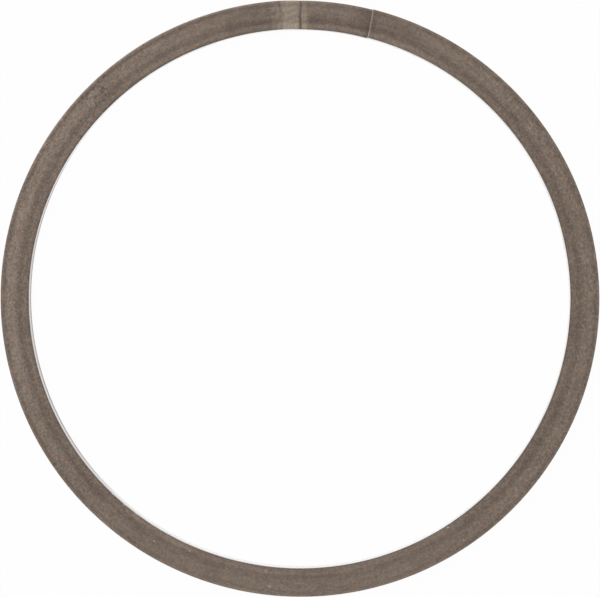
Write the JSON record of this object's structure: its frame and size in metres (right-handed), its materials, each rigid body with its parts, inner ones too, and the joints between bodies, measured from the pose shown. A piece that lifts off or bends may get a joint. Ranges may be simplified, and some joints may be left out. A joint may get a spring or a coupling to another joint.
{
  "type": "spiral retaining ring",
  "caption": "Flat spring ring coiled on edge from one rectangular wire, with a crimped ramp between its stacked turns and plain cut ends, for a round groove.",
  "frame": {"origin": "on the ring's axis, in the plane of its lower face", "axes": "+Z along the ring's axis, up from the lower turn; +Y from the axis towards the ramp between the turns"},
  "size_m": [0.1004, 0.1004, 0.0022],
  "materials": {
    "spring_wire": "matt brown-grey oil-tempered spring steel"
  },
  "bodies": {
    "root": {"spiral_ring": "spring_wire"}
  },
  "joints": []
}
